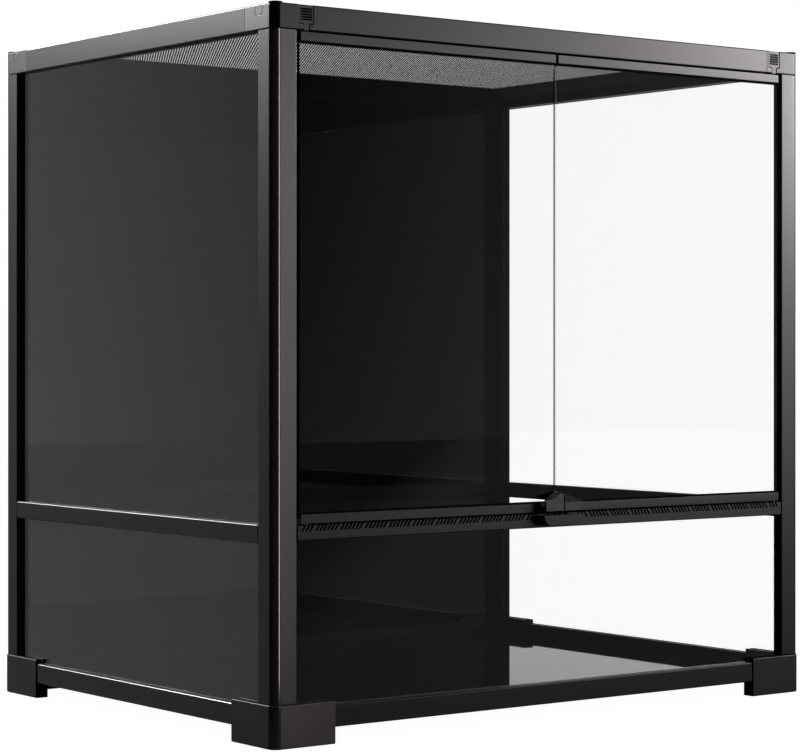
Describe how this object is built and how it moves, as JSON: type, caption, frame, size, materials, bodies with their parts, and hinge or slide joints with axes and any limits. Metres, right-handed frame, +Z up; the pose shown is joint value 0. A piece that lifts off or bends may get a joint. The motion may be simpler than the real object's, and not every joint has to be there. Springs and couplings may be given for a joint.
{
  "type": "terrarium cabinet",
  "caption": "Front-opening glass terrarium cabinet with a black frame, hinged doors over a vented rail, and a lift-off mesh lid.",
  "frame": {"origin": "middle of the whole object's footprint, on the ground under the feet", "axes": "+X to the right seen from the front, +Y to the back, +Z up; the doors face -Y"},
  "size_m": [0.614, 0.472, 0.617],
  "materials": {
    "frame_aluminium": "extruded, black anodised, satin",
    "connector_plastic": "moulded, fine satin texture, black",
    "clear_glass": "clear tempered, polished edges",
    "black_glass": "back-painted black, polished",
    "seal_rubber": "matt black extrusion",
    "latch_plastic": "moulded, polished black",
    "slider_plastic": "moulded, satin black, ribbed grip",
    "steel": "turned and spring steel, bright",
    "coated_mesh": "perforated sheet, black powder coat"
  },
  "bodies": {
    "cabinet": {"foot_front_left": "connector_plastic", "foot_front_right": "connector_plastic", "foot_rear_left": "connector_plastic", "foot_rear_right": "connector_plastic", "bottom_bar_front": "frame_aluminium", "bottom_bar_rear": "frame_aluminium", "bottom_bar_left": "frame_aluminium", "bottom_bar_right": "frame_aluminium", "post_front_left": "frame_aluminium", "post_front_right": "frame_aluminium", "post_rear_left": "frame_aluminium", "post_rear_right": "frame_aluminium", "glazing_beads": "connector_plastic", "top_corner_front_left": "connector_plastic", "top_corner_front_right": "connector_plastic", "top_corner_rear_left": "connector_plastic", "top_corner_rear_right": "connector_plastic", "top_bar_front": "frame_aluminium", "top_bar_rear": "frame_aluminium", "top_bar_left": "frame_aluminium", "top_bar_right": "frame_aluminium", "corner_caps": "slider_plastic", "corner_snap_plugs": "connector_plastic", "door_stop": "connector_plastic", "mid_rail_left": "frame_aluminium", "mid_rail_right": "frame_aluminium", "mid_rail_rear": "frame_aluminium", "vent_rail": "frame_aluminium", "floor_panel": "black_glass", "glass_front_lower": "clear_glass", "glass_left_lower": "clear_glass", "glass_left_upper": "clear_glass", "glass_right_lower": "clear_glass", "glass_right_upper": "clear_glass", "panel_rear_lower": "black_glass", "panel_rear_upper": "black_glass", "jamb_strip_left": "seal_rubber", "jamb_strip_right": "seal_rubber", "hinge_pin_left": "steel", "hinge_pin_right": "steel", "latch_keeper": "latch_plastic", "latch_clip": "steel"},
    "left_door": {"door_left_glass": "clear_glass", "door_left_top_rail": "frame_aluminium", "door_left_bottom_rail": "frame_aluminium", "door_left_gaskets": "seal_rubber", "door_left_handle": "latch_plastic"},
    "right_door": {"door_right_glass": "clear_glass", "door_right_top_rail": "frame_aluminium", "door_right_bottom_rail": "frame_aluminium", "door_right_gaskets": "seal_rubber", "door_right_handle": "latch_plastic"},
    "left_slider": {"slider_left": "slider_plastic"},
    "right_slider": {"slider_right": "slider_plastic"},
    "lid": {"lid_bar_front": "frame_aluminium", "lid_bar_rear": "frame_aluminium", "lid_bar_left": "frame_aluminium", "lid_bar_right": "frame_aluminium", "lid_mesh": "coated_mesh", "lid_bead": "seal_rubber"}
  },
  "joints": [
    {"name": "left_door_hinge", "type": "hinge", "parent": "cabinet", "child": "left_door", "pos_m": [-0.2728, -0.222, 0.185], "axis": [0, 0, -1], "range_deg": [0, 110]},
    {"name": "right_door_hinge", "type": "hinge", "parent": "cabinet", "child": "right_door", "pos_m": [0.2728, -0.222, 0.185], "axis": [0, 0, 1], "range_deg": [0, 110]},
    {"name": "left_slider_travel", "type": "slide", "parent": "cabinet", "child": "left_slider", "axis": [0, 0, 1], "range_m": [0, 0.005]},
    {"name": "right_slider_travel", "type": "slide", "parent": "cabinet", "child": "right_slider", "axis": [0, 0, 1], "range_m": [0, 0.005]},
    {"name": "lid_lift", "type": "slide", "parent": "cabinet", "child": "lid", "axis": [0, 0, 1], "range_m": [0, 0.06]}
  ]
}
